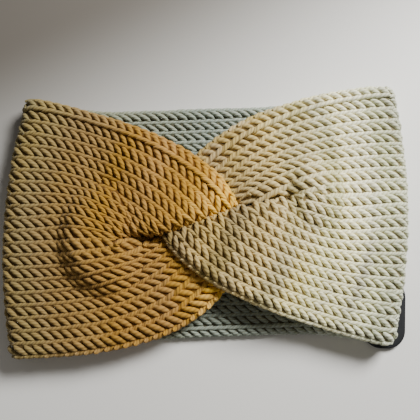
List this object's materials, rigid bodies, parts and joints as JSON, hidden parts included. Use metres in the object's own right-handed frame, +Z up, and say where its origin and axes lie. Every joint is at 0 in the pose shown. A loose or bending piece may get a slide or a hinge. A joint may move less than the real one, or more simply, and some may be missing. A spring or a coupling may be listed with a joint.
{
  "type": "knotted headband",
  "caption": "Wide knitted headband with a sewn twist knot at the front, made of one flattened tube of stockinette, with a small dark label at one turn.",
  "frame": {"origin": "middle of the outline, at the level of the surface that the back band lies on", "axes": "+X along the headband towards the turn with the label, +Y across the band towards the edge away from the label, +Z up, from the back band to the knot"},
  "size_m": [0.21, 0.135, 0.0234],
  "materials": {
    "back_knit": "matte plied yarn, pale blue-grey",
    "left_turn_knit": "matte plied yarn, beige-olive",
    "left_front_knit": "matte plied yarn, mustard",
    "right_turn_knit": "matte plied yarn, pale sage",
    "right_front_knit": "matte plied yarn, tan to cream",
    "seam_yarn": "matte plied yarn, golden",
    "label_leather": "dark smooth faux leather",
    "label_thread": "dark polyester sewing thread"
  },
  "bodies": {
    "back_centre": {"back_centre_band": "back_knit"},
    "back_left": {"back_left_band": "left_turn_knit", "left_turn_under": "left_turn_knit"},
    "back_right": {"back_right_band": "right_turn_knit", "right_turn_under": "right_turn_knit", "label": "label_leather", "label_thread": "label_thread"},
    "front_left": {"left_front_panel": "left_front_knit", "left_turn_over": "left_turn_knit"},
    "front_right": {"right_front_panel": "right_front_knit", "right_turn_over": "right_turn_knit"},
    "knot_left": {"left_upper_lobe": "left_front_knit", "left_lower_lobe": "left_front_knit", "knot_core": "left_front_knit", "seam_yarn": "seam_yarn"},
    "knot_right": {"right_upper_lobe": "right_front_knit", "right_lower_lobe": "right_front_knit"}
  },
  "joints": [
    {"name": "ring_opening", "type": "hinge", "parent": "back_centre", "child": "back_left", "pos_m": [-0.045, 0, 0.005], "axis": [0, 1, 0], "range_deg": [0, 45]},
    {"name": "back_right_lift", "type": "hinge", "parent": "back_centre", "child": "back_right", "pos_m": [0.045, 0, 0.005], "axis": [0, -1, 0], "range_deg": [0, 45]},
    {"name": "left_turn", "type": "hinge", "parent": "back_left", "child": "front_left", "pos_m": [-0.105, 0, 0.0075], "axis": [0, -1, 0], "range_deg": [0, 90]},
    {"name": "right_turn", "type": "hinge", "parent": "back_right", "child": "front_right", "pos_m": [0.105, 0, 0.0075], "axis": [0, 1, 0], "range_deg": [0, 90]},
    {"name": "knot_left_bend", "type": "hinge", "parent": "front_left", "child": "knot_left", "pos_m": [-0.045, 0, 0.01], "axis": [0, 1, 0], "range_deg": [0, 45]},
    {"name": "knot_right_bend", "type": "hinge", "parent": "front_right", "child": "knot_right", "pos_m": [0.045, 0, 0.01], "axis": [0, -1, 0], "range_deg": [0, 45]}
  ],
  "couplings": [
    {"joint": "back_right_lift", "follows": "ring_opening", "ratio": 1},
    {"joint": "left_turn", "follows": "ring_opening", "ratio": 2},
    {"joint": "right_turn", "follows": "ring_opening", "ratio": 2},
    {"joint": "knot_left_bend", "follows": "ring_opening", "ratio": 1},
    {"joint": "knot_right_bend", "follows": "ring_opening", "ratio": 1}
  ]
}
